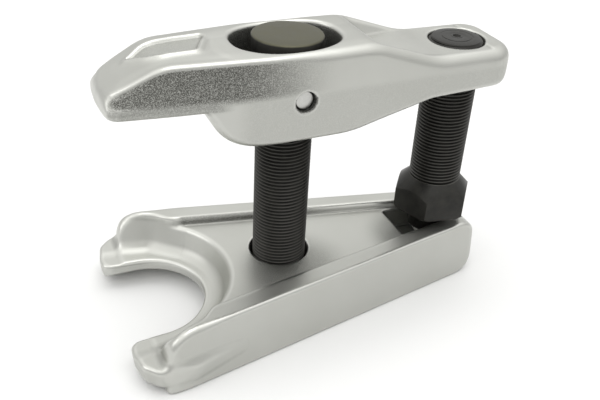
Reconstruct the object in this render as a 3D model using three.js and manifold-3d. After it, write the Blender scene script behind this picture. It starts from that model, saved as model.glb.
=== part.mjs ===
// Ball joint separator: a forged fork arm and a forged lever arm, held together by a tie bolt
// near the fork, and spread apart at the rear by a forcing screw that bears on the fork arm.
// Millimetres, +Z up. +X runs from the fork to the rear. The tie bolt's axis is modelled at
// X = 0, Y = 0, and the finished group is moved so that its box is centred on the origin.
import * as THREE from 'three';
import { mergeVertices } from 'three/addons/utils/BufferGeometryUtils.js';
import Module from 'manifold-3d';

const wasm = await Module();
wasm.setup();

// ---- driving dimensions ----
const GAP = 0.3; // clearance between pieces that touch
const ROUND_SEGMENTS = 48;
const CURVE_SEGMENTS = 10;
const OVERSHOOT = 2; // how far a cutter runs past the faces that it opens

const screw = { radius: 11, spacing: 73.1, endChamfer: 1.2 };

const fork = {
  rearEnd: 91,
  rearCorner: 7,
  baseHalfWidth: 34.8, // at the tie bolt, on the underside
  taper: 0.2, // half-width lost per millimetre towards the rear
  draft: 3.3, // half-width lost from the underside to the rim
  rimTop: 25.1,
  panFloor: 21.9,
  panHalfWidth: 22.9,
  panTaper: 0.187,
  panRear: 82,
  plateTop: 11.6,
  boltHole: 12.2,
};

const mouth = {
  centre: -57, // centre of the round end of the fork's opening
  radius: 23.2,
  tip: -70,
  tipHalfWidth: 30,
  cornerStart: -54, // where the tine's outer corner starts to turn in
  cornerReach: 8, // how far each end of that corner pulls its curve
  innerCorner: 5.4, // length of the small corner between the tip and the opening
  innerFlare: 0.2,
  tineRoot: -44,
  tineInset: 1, // how far the tine's root stays inside the body's side
  tineOverlap: 20,
  hornEnd: -61,
  hornRound: 1,
  hornThickness: 1.5,
  lipTop: 10.4,
  lipUnderside: 7.4,
  lipOuter: 29.5,
  lipOuterTop: 12.4,
  dishTop: 34,
  dishRim: 35,
  undersideOuter: 32,
};

const seat = { front: 55, rear: 86.5, frontHalfWidth: 9.6, rearHalfWidth: 9.1, floor: 12 };
const nutRecess = { radius: 20.5, ceiling: 15 };

const washer = { thickness: 2.5, outerRadius: 18, innerRadius: 11.6 };
const nut = { height: 11, acrossFlats: 32, boreRadius: screw.radius + GAP, chamferRise: 1.4 };

const lever = {
  noseTip: -72,
  rearEnd: 91.5,
  rearCorner: 10,
  rearHalfWidth: 17.6,
  blankHalfWidth: 25, // wider than the plan, which trims it
  top: 114.3,
  rearTop: 106.9,
  underside: 97.8,
  bossUnderside: 82,
  bossFront: -35.5,
  bossRadius: 15,
  rearUnderside: 91.3,
  eyeRadius: screw.radius + 0.7,
};

// The lever arm's side view, in X and Z: the blunt nose, and the run from the boss to the rear.
const noseSide = {
  foot: -68,
  tipLow: 101,
  tipHigh: 102.5,
  tipRound: 104.6,
  brow: [-69.5, 106],
  shoulder: [-58, 112.4],
  shoulderRound: -55,
  crest: -50,
};
const rearSide = {
  bossEnd: 18,
  bossEndRound: 25,
  rampFoot: [32, 84.8],
  rampHead: [46, 89.8],
  rampHeadRound: 50,
  flatStart: 56,
  lowCorner: [7, 6],
  highCorner: 2,
  topStart: 52,
};
// Half-widths of the lever arm along X, from behind the nose's tip to the rear.
const nosePlan = { flat: 8, corner: 11.5 };
const leverHalfWidths = [
  [-69, 12.5], [-62, 14.5], [-46, 16.8], [-30, 18.4], [-10, 19.5], [20, 19.5], [55, 18],
];

const pocket = { centre: -0.9, halfLength: 20.5, halfWidth: 14.8 };
const rearRecess = { halfWidth: 13.7, front: 29, foot: 36, rear: 60 };
// The shallow panel on top of the nose, from its tip along the near side.
// Its rear end runs askew across the arm.
const nosePanel = {
  depth: 1.3,
  outline: [[-56.5, 3.6], [-49.5, -5.2], [-35.2, -4], [-29.6, 8], [-30.2, 9.2], [-50, 7.6]],
};

const pin = { height: 97.3, radius: 3.8, length: 35, chamfer: 0.5 };
const tieBolt = {
  end: 0.8,
  headRadius: 13.35,
  headTop: 115.9,
  headUnderside: 85,
  headRise: 2, // height of the cone under the head
  headChamfer: 1.2,
};

const forcing = {
  top: 106.8,
  dome: 0.7,
  hexBottom: 27,
  hexCornerBottom: 28.2,
  hexCornerTop: 38,
  shoulderSlope: 1.03, // rise of the cone above the hex for each millimetre of radius
  acrossFlats: 30,
  hexTurn: THREE.MathUtils.degToRad(-9),
  neckRadius: 8.7,
  neckEnd: 28, // inside the hex
  tipEnd: 18.3,
  tipRun: 0.8,
  tipRise: 2,
  dimpleRadius: 1.7,
};
const ball = { radius: 7.5, centre: seat.floor + GAP + 7.5 };

// ---- solids ----

// A closed geometry as a manifold solid.
function solid(geometry) {
  const bare = geometry.clone();
  bare.deleteAttribute('normal');
  bare.deleteAttribute('uv');
  const merged = mergeVertices(bare, 1e-4);
  return new wasm.Manifold(new wasm.Mesh({
    numProp: 3,
    vertProperties: new Float32Array(merged.attributes.position.array),
    triVerts: new Uint32Array(merged.index.array),
  }));
}

// A manifold solid as a geometry.
function geometryOf(body) {
  const mesh = body.getMesh();
  const geometry = new THREE.BufferGeometry();
  geometry.setAttribute('position', new THREE.BufferAttribute(new Float32Array(mesh.vertProperties), 3));
  geometry.setIndex(new THREE.BufferAttribute(new Uint32Array(mesh.triVerts), 1));
  return geometry;
}

// A plan outline, raised from z = low to z = high.
function plate(outline, low, high) {
  const geometry = new THREE.ExtrudeGeometry(outline, {
    depth: high - low,
    bevelEnabled: false,
    curveSegments: CURVE_SEGMENTS,
  });
  return geometry.translate(0, 0, low);
}

// A side outline in X and Z, spread across Y by halfWidth each way.
function slab(outline, halfWidth) {
  const geometry = new THREE.ExtrudeGeometry(outline, {
    depth: 2 * halfWidth,
    bevelEnabled: false,
    curveSegments: CURVE_SEGMENTS,
  });
  return geometry.rotateX(Math.PI / 2).translate(0, halfWidth, 0);
}

// A turned solid about the vertical axis at x, from [radius, height] pairs that start and end
// on the axis and run upwards.
function turned(profile, x = 0) {
  const points = profile.map(([radius, height]) => new THREE.Vector2(radius, height));
  const geometry = new THREE.LatheGeometry(points, ROUND_SEGMENTS);
  return geometry.rotateX(Math.PI / 2).translate(x, 0, 0);
}

// A plain round bar along the vertical axis at x.
function post(radius, low, high, x = 0) {
  return turned([[0, low], [radius, low], [radius, high], [0, high]], x);
}

// Leans a raised outline's sides in towards the middle as they rise, as a forging die needs.
function leanSides(geometry, lean, height) {
  const place = geometry.attributes.position;
  for (let i = 0; i < place.count; i += 1) {
    const y = place.getY(i);
    place.setY(i, y - Math.sign(y) * lean * (place.getZ(i) / height));
  }
  return geometry;
}

function polygon(points) {
  return new THREE.Shape(points.map(([x, y]) => new THREE.Vector2(x, y)));
}

// ---- fork arm ----

function forkHalfWidth(x) {
  return fork.baseHalfWidth - fork.taper * x;
}

// Both sides of the rear half of the fork arm's outline, from the near side round to the far one.
function forkRear(shape) {
  const side = forkHalfWidth(fork.rearEnd - fork.rearCorner);
  const end = fork.rearEnd;
  shape.lineTo(end - fork.rearCorner, -side);
  shape.quadraticCurveTo(end, -side, end, -side + fork.rearCorner);
  shape.lineTo(end, side - fork.rearCorner);
  shape.quadraticCurveTo(end, side, end - fork.rearCorner, side);
}

// The low front of the fork arm, with its two tines and the round-ended opening between them.
// It stops just inside the body's sides, where the body takes over.
function tineOutline() {
  const { tip, tipHalfWidth, cornerStart, cornerReach, tineRoot } = mouth;
  const side = forkHalfWidth(cornerStart);
  const rootSide = forkHalfWidth(tineRoot) - mouth.tineInset;
  const innerStart = tip + mouth.innerCorner;
  const innerHalfWidth = mouth.radius + mouth.innerFlare;
  const wide = tipHalfWidth + cornerReach;
  const back = cornerStart - cornerReach;
  const shape = new THREE.Shape();
  shape.moveTo(tip, -tipHalfWidth);
  shape.bezierCurveTo(tip, -wide, back, -side, cornerStart, -side);
  shape.lineTo(tineRoot, -rootSide);
  shape.lineTo(tineRoot + mouth.tineOverlap, 0);
  shape.lineTo(tineRoot, rootSide);
  shape.lineTo(cornerStart, side);
  shape.bezierCurveTo(back, side, tip, wide, tip, tipHalfWidth);
  shape.quadraticCurveTo(tip, innerHalfWidth, innerStart, innerHalfWidth);
  shape.lineTo(mouth.centre, mouth.radius);
  shape.absarc(mouth.centre, 0, mouth.radius, Math.PI / 2, -Math.PI / 2, true);
  shape.lineTo(innerStart, -innerHalfWidth);
  shape.quadraticCurveTo(tip, -innerHalfWidth, tip, -tipHalfWidth);
  return shape;
}

// The deeper body behind the tines, whose front corners are the horns beside the mouth.
function bodyOutline() {
  const { hornEnd, hornRound, cornerStart } = mouth;
  const side = forkHalfWidth(cornerStart);
  const hornHalfWidth = mouth.dishTop + mouth.hornThickness;
  const shape = new THREE.Shape();
  shape.moveTo(hornEnd, -hornHalfWidth);
  shape.quadraticCurveTo(hornEnd + hornRound, hornRound - side, cornerStart, -side);
  forkRear(shape);
  shape.lineTo(cornerStart, side);
  shape.quadraticCurveTo(hornEnd + hornRound, side - hornRound, hornEnd, hornHalfWidth);
  return shape;
}

// What a round-ended channel removes: the section turned about the mouth's centre, and the same
// section run straight out past the tips.
function mouthCutter(section) {
  const profile = [[0, section[0][1]], ...section, [0, section[section.length - 1][1]]];
  const mirrored = section.map(([radius, height]) => [-radius, height]).reverse();
  const run = mouth.centre - mouth.tip + OVERSHOOT;
  const channel = new THREE.ExtrudeGeometry(polygon([...section, ...mirrored]), {
    depth: run,
    bevelEnabled: false,
  });
  // the section's first coordinate lies across Y, its second along Z, and it runs towards -X
  channel.rotateX(Math.PI / 2).rotateZ(-Math.PI / 2).translate(mouth.centre, 0, 0);
  return solid(turned(profile, mouth.centre)).add(solid(channel));
}

function panOutline() {
  const half = (x) => fork.panHalfWidth - fork.panTaper * x;
  const front = mouth.centre;
  return polygon([
    [front, -half(front)],
    [fork.panRear, -half(fork.panRear)],
    [fork.panRear, half(fork.panRear)],
    [front, half(front)],
  ]);
}

function seatOutline() {
  const corner = 3;
  const shape = new THREE.Shape();
  shape.moveTo(seat.front, -seat.frontHalfWidth);
  shape.lineTo(seat.rear - corner, -seat.rearHalfWidth);
  shape.quadraticCurveTo(seat.rear, -seat.rearHalfWidth, seat.rear, -seat.rearHalfWidth + corner);
  shape.lineTo(seat.rear, seat.rearHalfWidth - corner);
  shape.quadraticCurveTo(seat.rear, seat.rearHalfWidth, seat.rear - corner, seat.rearHalfWidth);
  shape.lineTo(seat.front, seat.frontHalfWidth);
  return shape;
}

function forkArm() {
  const above = fork.rimTop + OVERSHOOT;
  const low = solid(leanSides(plate(tineOutline(), 0, fork.plateTop), fork.draft, fork.rimTop));
  const body = solid(leanSides(plate(bodyOutline(), 0, fork.rimTop), fork.draft, fork.rimTop));
  const opening = mouthCutter([[mouth.radius, -OVERSHOOT], [mouth.radius, above]]);
  const dish = mouthCutter([
    [mouth.radius - OVERSHOOT, mouth.lipTop],
    [mouth.radius, mouth.lipTop],
    [mouth.lipOuter, mouth.lipOuterTop],
    [mouth.dishTop, fork.panFloor],
    [mouth.dishRim, above],
  ]);
  const under = mouthCutter([
    [mouth.undersideOuter, -OVERSHOOT],
    [mouth.undersideOuter, 0],
    [mouth.radius - OVERSHOOT, mouth.lipUnderside],
  ]);
  return low.add(body)
    .subtract(opening)
    .subtract(dish)
    .subtract(under)
    .subtract(solid(plate(panOutline(), fork.panFloor, above)))
    .subtract(solid(plate(seatOutline(), seat.floor, above)))
    .subtract(solid(post(nutRecess.radius, -OVERSHOOT, nutRecess.ceiling)))
    .subtract(solid(post(fork.boltHole, 0, above)));
}

// ---- lever arm ----

function leverSide() {
  const { noseTip, underside, bossFront, bossRadius, bossUnderside, rearUnderside } = lever;
  const { rearEnd, rearTop, top } = lever;
  const bossCorner = 2;
  const [lowRun, lowRise] = rearSide.lowCorner;
  const shape = new THREE.Shape();
  shape.moveTo(noseSide.foot, underside);
  shape.lineTo(bossFront - bossCorner, underside);
  shape.quadraticCurveTo(bossFront, underside, bossFront, underside - bossCorner);
  const arcX = bossFront + bossRadius;
  const arcZ = bossUnderside + bossRadius;
  shape.absarc(arcX, arcZ, bossRadius, Math.PI, 1.5 * Math.PI, false);
  shape.lineTo(rearSide.bossEnd, bossUnderside);
  shape.quadraticCurveTo(rearSide.bossEndRound, bossUnderside, ...rearSide.rampFoot);
  shape.lineTo(...rearSide.rampHead);
  shape.quadraticCurveTo(rearSide.rampHeadRound, rearUnderside, rearSide.flatStart, rearUnderside);
  shape.lineTo(rearEnd - lowRun, rearUnderside);
  shape.quadraticCurveTo(rearEnd, rearUnderside, rearEnd, rearUnderside + lowRise);
  shape.lineTo(rearEnd, rearTop - rearSide.highCorner);
  shape.lineTo(rearEnd - rearSide.highCorner, rearTop);
  shape.lineTo(rearSide.topStart, rearTop);
  shape.lineTo(rearRecess.front, top);
  shape.lineTo(noseSide.crest, top);
  shape.quadraticCurveTo(noseSide.shoulderRound, top, ...noseSide.shoulder);
  shape.lineTo(...noseSide.brow);
  shape.quadraticCurveTo(noseTip, noseSide.tipRound, noseTip, noseSide.tipHigh);
  shape.lineTo(noseTip, noseSide.tipLow);
  shape.quadraticCurveTo(noseTip, underside, noseSide.foot, underside);
  return shape;
}

function leverPlan() {
  const { noseTip, rearEnd, rearHalfWidth, rearCorner: corner } = lever;
  const [first, ...rest] = leverHalfWidths;
  const [last, ...back] = leverHalfWidths.slice().reverse();
  const shape = new THREE.Shape();
  shape.moveTo(noseTip, -nosePlan.flat);
  shape.quadraticCurveTo(noseTip, -nosePlan.corner, first[0], -first[1]);
  shape.splineThru(rest.map(([x, y]) => new THREE.Vector2(x, -y)));
  shape.lineTo(rearEnd - corner, -rearHalfWidth);
  shape.absarc(rearEnd - corner, corner - rearHalfWidth, corner, -Math.PI / 2, 0, false);
  shape.absarc(rearEnd - corner, rearHalfWidth - corner, corner, 0, Math.PI / 2, false);
  shape.lineTo(...last);
  shape.splineThru(back.map(([x, y]) => new THREE.Vector2(x, y)));
  shape.quadraticCurveTo(noseTip, nosePlan.corner, noseTip, nosePlan.flat);
  return shape;
}

function pocketOutline() {
  const reach = pocket.halfLength - pocket.halfWidth;
  const shape = new THREE.Shape();
  shape.absarc(pocket.centre + reach, 0, pocket.halfWidth, -Math.PI / 2, Math.PI / 2, false);
  shape.absarc(pocket.centre - reach, 0, pocket.halfWidth, Math.PI / 2, 1.5 * Math.PI, false);
  return shape;
}

// The recess behind the pocket, whose sloped front rises to the top of the arm.
function rearRecessSide() {
  const above = lever.top + OVERSHOOT;
  return polygon([
    [rearRecess.front, above],
    [rearRecess.front, lever.top],
    [rearRecess.foot, lever.rearTop],
    [rearRecess.rear, lever.rearTop],
    [rearRecess.rear, above],
  ]);
}

function leverArm() {
  const below = lever.bossUnderside - OVERSHOOT;
  const above = lever.top + OVERSHOOT;
  const reach = lever.blankHalfWidth;
  const pinHole = post(pin.radius + GAP, -reach, reach).rotateX(Math.PI / 2).translate(0, 0, pin.height);
  return solid(slab(leverSide(), lever.blankHalfWidth))
    .intersect(solid(plate(leverPlan(), below, above)))
    .subtract(solid(plate(pocketOutline(), below, above)))
    .subtract(solid(slab(rearRecessSide(), rearRecess.halfWidth)))
    .subtract(solid(plate(polygon(nosePanel.outline), lever.top - nosePanel.depth, above)))
    .subtract(solid(post(lever.eyeRadius, below, above, screw.spacing)))
    .subtract(solid(pinHole));
}

// ---- screws, nut, washer, pin and ball ----

// A six-sided bar, cut back to a turned profile so that its corners are chamfered.
function chamferedHex(acrossFlats, low, high, profile, x, turn) {
  const corner = acrossFlats / Math.sqrt(3);
  const bar = new THREE.CylinderGeometry(corner, corner, high - low, 6);
  bar.rotateX(Math.PI / 2).rotateZ(turn + Math.PI / 6).translate(x, 0, (low + high) / 2);
  return solid(bar).intersect(solid(turned(profile, x)));
}

function tieBoltBody() {
  const { end, headRadius, headTop, headUnderside, headRise, headChamfer } = tieBolt;
  const bolt = turned([
    [0, end],
    [screw.radius - screw.endChamfer, end],
    [screw.radius, end + screw.endChamfer],
    [screw.radius, headUnderside],
    [headRadius, headUnderside + headRise],
    [headRadius, headTop - headChamfer],
    [headRadius - headChamfer, headTop],
    [0, headTop],
  ]);
  const cross = post(pin.radius + GAP, -headRadius, headRadius).rotateX(Math.PI / 2).translate(0, 0, pin.height);
  return solid(bolt).subtract(solid(cross));
}

function forcingScrewBody() {
  const corner = forcing.acrossFlats / Math.sqrt(3);
  const flat = forcing.acrossFlats / 2;
  const hexTop = forcing.hexCornerTop + forcing.shoulderSlope * (corner - screw.radius);
  const hex = chamferedHex(forcing.acrossFlats, forcing.hexBottom, hexTop, [
    [0, forcing.hexBottom],
    [flat, forcing.hexBottom],
    [corner, forcing.hexCornerBottom],
    [corner, forcing.hexCornerTop],
    [screw.radius, hexTop],
    [0, hexTop],
  ], screw.spacing, forcing.hexTurn);
  const shank = turned([
    [0, forcing.tipEnd],
    [forcing.neckRadius - forcing.tipRun, forcing.tipEnd],
    [forcing.neckRadius, forcing.tipEnd + forcing.tipRise],
    [forcing.neckRadius, forcing.neckEnd],
    [screw.radius, forcing.neckEnd + 1],
    [screw.radius, forcing.top - screw.endChamfer],
    [screw.radius - screw.endChamfer, forcing.top],
    [forcing.dimpleRadius, forcing.top + forcing.dome],
    [0, forcing.top + forcing.dome - forcing.dimpleRadius],
  ], screw.spacing);
  const socket = new THREE.SphereGeometry(ball.radius + GAP, 32, 16)
    .translate(screw.spacing, 0, ball.centre);
  return solid(shank).add(hex).subtract(solid(socket));
}

function washerBody() {
  const top = nutRecess.ceiling - GAP;
  const ring = post(washer.outerRadius, top - washer.thickness, top);
  const hole = post(washer.innerRadius, 0, nutRecess.ceiling + OVERSHOOT);
  return solid(ring).subtract(solid(hole));
}

function nutBody() {
  const top = nutRecess.ceiling - GAP - washer.thickness - GAP;
  const bottom = top - nut.height;
  const corner = nut.acrossFlats / Math.sqrt(3);
  const flat = nut.acrossFlats / 2;
  const hex = chamferedHex(nut.acrossFlats, bottom, top, [
    [0, bottom],
    [flat, bottom],
    [corner, bottom + nut.chamferRise],
    [corner, top - nut.chamferRise],
    [flat, top],
    [0, top],
  ], 0, 0);
  return hex.subtract(solid(post(nut.boreRadius, bottom - OVERSHOOT, top + OVERSHOOT)));
}

function pinBody() {
  const end = pin.length / 2;
  const bar = turned([
    [0, -end],
    [pin.radius - pin.chamfer, -end],
    [pin.radius, -end + pin.chamfer],
    [pin.radius, end - pin.chamfer],
    [pin.radius - pin.chamfer, end],
    [0, end],
  ]);
  return solid(bar.rotateX(Math.PI / 2).translate(0, 0, pin.height));
}

function ballBody() {
  return solid(new THREE.SphereGeometry(ball.radius, 32, 16).translate(screw.spacing, 0, ball.centre));
}

// ---- assembly ----

const forgedSteel = { color: 0xc4c5bf, roughness: 0.42, metalness: 0.85 };
const blackOxide = { color: 0x2a2a27, roughness: 0.5, metalness: 0.6 };
const brightSteel = { color: 0xd0d0cc, roughness: 0.25, metalness: 0.95 };

function piece(name, body, finish) {
  const mesh = new THREE.Mesh(geometryOf(body), new THREE.MeshStandardMaterial(finish));
  mesh.name = name;
  return mesh;
}

const separator = new THREE.Group();
separator.name = 'ball_joint_separator';
separator.position.x = -(lever.noseTip + lever.rearEnd) / 2;
separator.add(
  piece('lower_fork_arm', forkArm(), forgedSteel),
  piece('upper_lever_arm', leverArm(), forgedSteel),
  piece('tie_bolt', tieBoltBody(), blackOxide),
  piece('pivot_pin', pinBody(), brightSteel),
  piece('seat_washer', washerBody(), blackOxide),
  piece('adjusting_nut', nutBody(), blackOxide),
  piece('forcing_screw', forcingScrewBody(), blackOxide),
  piece('tip_ball', ballBody(), brightSteel),
);

export default separator;
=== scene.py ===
"""The looks of the ball joint separator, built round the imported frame. Sculpting is done in
millimetres, with X measured from the tie bolt's axis, and each piece is placed in metres."""
import math

import bmesh
import bpy
import numpy as np
from mathutils import Matrix, Vector


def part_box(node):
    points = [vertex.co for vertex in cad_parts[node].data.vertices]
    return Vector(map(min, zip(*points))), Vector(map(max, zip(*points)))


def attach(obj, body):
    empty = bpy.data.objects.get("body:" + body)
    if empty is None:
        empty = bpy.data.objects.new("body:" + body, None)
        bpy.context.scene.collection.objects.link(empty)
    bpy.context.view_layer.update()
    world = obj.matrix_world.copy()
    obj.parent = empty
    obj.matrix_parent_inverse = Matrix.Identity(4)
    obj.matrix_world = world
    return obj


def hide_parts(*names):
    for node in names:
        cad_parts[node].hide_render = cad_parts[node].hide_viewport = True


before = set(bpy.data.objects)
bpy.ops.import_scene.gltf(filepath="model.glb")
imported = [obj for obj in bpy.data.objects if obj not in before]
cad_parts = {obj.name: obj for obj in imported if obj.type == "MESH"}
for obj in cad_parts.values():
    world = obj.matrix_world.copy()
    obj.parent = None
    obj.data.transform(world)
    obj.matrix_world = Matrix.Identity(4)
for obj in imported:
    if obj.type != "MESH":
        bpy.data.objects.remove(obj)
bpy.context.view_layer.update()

MM = 0.001
STEP = 0.6  # the sculpting grid's spacing, in millimetres
BEND_REACH = 1.5  # grid steps over which a sculpted surface's curvature is measured
SEGMENTS = 128  # round each turned piece


def axis_x(node):
    """Where a node's vertical axis stands, in millimetres in the row frame."""
    low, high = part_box(node)
    return (low.x + high.x) / 2 / MM


TIE_X = axis_x("tie_bolt")
SCREW_X = axis_x("tip_ball") - TIE_X
PIN_Z = sum(corner.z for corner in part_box("pivot_pin")) / 2 / MM


# ---- outlines ----


def unit(vector):
    return vector / np.linalg.norm(vector)


def turn_corner(before, here, after, radius, steps=8):
    """The arc of that radius which turns the corner at here."""
    to_before = unit(before - here)
    to_after = unit(after - here)
    half = math.acos(np.clip(to_before @ to_after, -1, 1)) / 2
    centre = here + unit(to_before + to_after) * radius / math.sin(half)
    start = here + to_before * radius / math.tan(half) - centre
    sweep = math.pi - 2 * half
    if to_before[0] * to_after[1] - to_before[1] * to_after[0] > 0:
        sweep = -sweep
    angles = np.linspace(0, sweep, steps + 1)
    turned_x = start[0] * np.cos(angles) - start[1] * np.sin(angles)
    turned_y = start[0] * np.sin(angles) + start[1] * np.cos(angles)
    return [centre + point for point in np.stack([turned_x, turned_y], 1)]


def rounded(corners, closed=True):
    """An outline through (x, y, radius) corners, with each corner turned by an arc."""
    places = [np.array(corner[:2], float) for corner in corners]
    points = []
    for i, corner in enumerate(corners):
        is_end = not closed and i in (0, len(corners) - 1)
        if corner[2] == 0 or is_end:
            points.append(places[i])
            continue
        after = places[(i + 1) % len(corners)]
        points += turn_corner(places[i - 1], places[i], after, corner[2])
    return np.array(points)


def mirrored(corners):
    """Corners on the +Y side, followed by the same ones on the -Y side in reverse."""
    return corners + [(x, -y, radius) for x, y, radius in reversed(corners)]


def arc(centre, radius, first, last, steps=14):
    """Points along an arc, angles in degrees, as corners with no rounding."""
    angles = np.radians(np.linspace(first, last, steps + 1))
    return [(centre[0] + radius * math.cos(a), centre[1] + radius * math.sin(a), 0) for a in angles]


# ---- signed distances, below zero inside ----


def lattice(low, high, step=STEP):
    """The coordinates of a grid of points over a box, as arrays that combine by broadcasting."""
    axes = [np.arange(a, b + step, step) for a, b in zip(low, high)]
    return np.meshgrid(*axes, indexing="ij", sparse=True)


def outline_distance(points, u, v):
    """Signed distance from a closed outline."""
    nearest = np.inf
    inside = np.zeros(np.broadcast(u, v).shape, bool)
    for start, end in zip(points, np.roll(points, -1, axis=0)):
        along = end - start
        length = along @ along
        if length < 1e-12:
            continue
        du = u - start[0]
        dv = v - start[1]
        t = np.clip((du * along[0] + dv * along[1]) / length, 0, 1)
        nearest = np.minimum(nearest, (du - t * along[0]) ** 2 + (dv - t * along[1]) ** 2)
        if start[1] != end[1]:
            crosses = (start[1] > v) != (end[1] > v)
            inside ^= crosses & (du < along[0] * dv / along[1])
    return np.where(inside, -1, 1) * np.sqrt(nearest)


def both(a, b, radius):
    """What lies inside both shapes, with their common edge rounded to that radius."""
    beyond_a = np.maximum(a + radius, 0)
    beyond_b = np.maximum(b + radius, 0)
    return np.minimum(-radius, np.maximum(a, b)) + np.hypot(beyond_a, beyond_b)


def either(a, b, radius):
    """What lies inside either shape, with a fillet of that radius between them."""
    return -both(-a, -b, radius)


def without(a, b, radius):
    """Shape a with b cut away, and the cut's edge rounded to that radius."""
    return both(a, -b, radius)


def ease(low, high, value):
    """0 before low and 1 beyond high, with a smooth change between them. Low may be the larger of
    the two. The shapes below use it to fade a feature in or out between two places."""
    t = np.clip((value - low) / (high - low), 0, 1)
    return t * t * (3 - 2 * t)


def blend(a, b, share):
    """A where the share is 0, and b where it is 1."""
    return a + (b - a) * share


def under_surface(height, z, step=STEP):
    """Signed distance from a surface given as its height over each point of the plan."""
    slope_x, slope_y = np.gradient(height[:, :, 0], step)
    lean = np.sqrt(1 + slope_x**2 + slope_y**2)
    return (z - height) / lean[:, :, None]


# ---- meshes from signed distances ----


def sample(field, places):
    """The field's values at places given in grid steps."""
    whole = np.clip(places.astype(int), 0, np.array(field.shape) - 2)
    part = places - whole
    total = 0
    for corner in np.ndindex(2, 2, 2):
        weight = np.prod(np.where(corner, part, 1 - part), axis=1)
        total = total + weight * field[tuple((whole + corner).T)]
    return total


def gradient_at(field, places, reach=0.5):
    """The field's slope at places given in grid steps, measured over reach on either side."""
    offsets = np.eye(3) * reach
    differences = [sample(field, places + o) - sample(field, places - o) for o in offsets]
    return np.stack(differences, 1) / (2 * reach)


def surface_net(field):
    """Vertices in grid steps, and quads, of the surface where the field is zero."""
    size = np.array(field.shape) - 1
    inside = field < 0

    def corner(array, offset):
        return array[tuple(slice(o, o + n) for o, n in zip(offset, size))]

    filled = sum(corner(inside, c).astype(int) for c in np.ndindex(2, 2, 2))
    active = (filled > 0) & (filled < 8)
    index = np.full(active.shape, -1)
    index[active] = np.arange(active.sum())
    cells = np.argwhere(active)
    total = np.zeros(cells.shape)
    hits = np.zeros(len(cells))
    for axis in range(3):
        ahead = np.eye(3, dtype=int)[axis]
        for start in np.ndindex(2, 2, 2):
            if start[axis]:
                continue
            a = corner(field, start)[active]
            b = corner(field, np.array(start) + ahead)[active]
            crosses = (a < 0) != (b < 0)
            t = np.where(crosses, a / np.where(crosses, a - b, 1), 0)
            total += crosses[:, None] * (np.array(start) + t[:, None] * ahead)
            hits += crosses
    places = cells + total / hits[:, None]
    return places, np.concatenate([quads_across(inside, index, axis) for axis in range(3)])


def quads_across(inside, index, axis):
    """A quad for each grid edge along axis that the surface crosses."""
    others = [a for a in range(3) if a != axis]
    low = [slice(1, -1)] * 3
    high = [slice(1, -1)] * 3
    low[axis] = slice(0, -1)
    high[axis] = slice(1, None)
    first = inside[tuple(low)]
    crosses = first != inside[tuple(high)]
    where = np.argwhere(crosses)
    rising = first[crosses]
    where[:, others] += 1
    ring = []
    for back_a, back_b in ((0, 0), (1, 0), (1, 1), (0, 1)):
        cell = where.copy()
        cell[:, others[0]] -= back_a
        cell[:, others[1]] -= back_b
        ring.append(index[tuple(cell.T)])
    quads = np.stack(ring, 1)
    flip = rising if axis == 1 else ~rising
    quads[flip] = quads[flip][:, ::-1]
    return quads


def settle(field, places, rounds=2, limit=0.4):
    """Moves vertices onto the surface along the field's gradient, by limit grid steps at most."""
    for _ in range(rounds):
        slope = gradient_at(field, places)
        size = np.maximum((slope**2).sum(1), 1e-6)
        move = slope * (sample(field, places) / size)[:, None]
        places = places - np.clip(move, -limit, limit)
    return places


def sculpted(name, field, low, grain, step=STEP):
    """A mesh object of a field. It keeps two values for the material: edge, the surface's
    curvature, and grain, where the blasted texture was left, which in places also paints shade."""
    places, quads = surface_net(field)
    places = settle(field, places)
    slope = gradient_at(field, places, 1.0)
    normals = slope / np.linalg.norm(slope, axis=1)[:, None]
    bend = -6 * sample(field, places)
    for offset in np.eye(3) * BEND_REACH:
        bend = bend + sample(field, places + offset) + sample(field, places - offset)
    bend = bend / (BEND_REACH * step) ** 2
    points = np.array(low) + places * step
    mesh = bpy.data.meshes.new(name)
    mesh.from_pydata(((points + (TIE_X, 0, 0)) * MM).tolist(), [], quads.tolist())
    mesh.polygons.foreach_set("use_smooth", [True] * len(mesh.polygons))
    mesh.normals_split_custom_set_from_vertices(normals.tolist())
    for label, values in (("edge", bend), ("grain", grain(points, normals))):
        layer = mesh.attributes.new(label, "FLOAT", "POINT")
        layer.data.foreach_set("value", np.asarray(values, np.float32))
    return linked(name, mesh)


def linked(name, mesh):
    """A new object with that mesh, in the scene."""
    piece = bpy.data.objects.new(name, mesh)
    bpy.context.scene.collection.objects.link(piece)
    return piece


# ---- the lever arm ----

NOSE_TIP = -70.5
REAR_END = 91.5
LEVER_TOP = 114.3
LEVER_REAR_TOP = 106.85
LEVER_BAND = 100.8  # the height where the nose's sides turn from sloping to upright
LEVER_LEAST_RISE = 2.5  # the height over which the sides lean in where the arm's top is low
POCKET = {"centre": -0.9, "length": 20.5, "width": 14.8, "power": 2.4}
EYE_RADIUS = 11.4
PIN_HOLE_RADIUS = 4.0
PANEL_DEPTH = 1.3
FAR_RIDGE = 0.05  # how much the panel's rim stands up on the far side, and what the near side adds
NEAR_RIDGE = 0.85
RIDGE_WIDTH = 1.2
VALLEY_DEPTH = 0.25  # between the near ridge and the arm's edge
COLLAR_FRONT = -29.2  # where the top is whole again behind the panel
REAR_CROWN = 0.5
SCOOP_DEPTH = 0.8  # of the hollow in the nose's sloping sides
BOSS_DRAFT = 0.05  # how much the boss's sides draw in for each unit of depth
RECESS_HALF_WIDTH = 14.4
RECESS_LEAN = 0.55
RECESS_LEAN_LENGTH = 1.14  # along the leaning side, for each unit of depth
# How strong the grain is, where the nose's sloping sides have 1. The hole's large share is painted shade
# in the pin hole.
LEVER_GRAIN_AND_SHADE = {"floor": 0.25, "wall": 0.55, "hole": 1.6, "low_side": 0.18}


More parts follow.
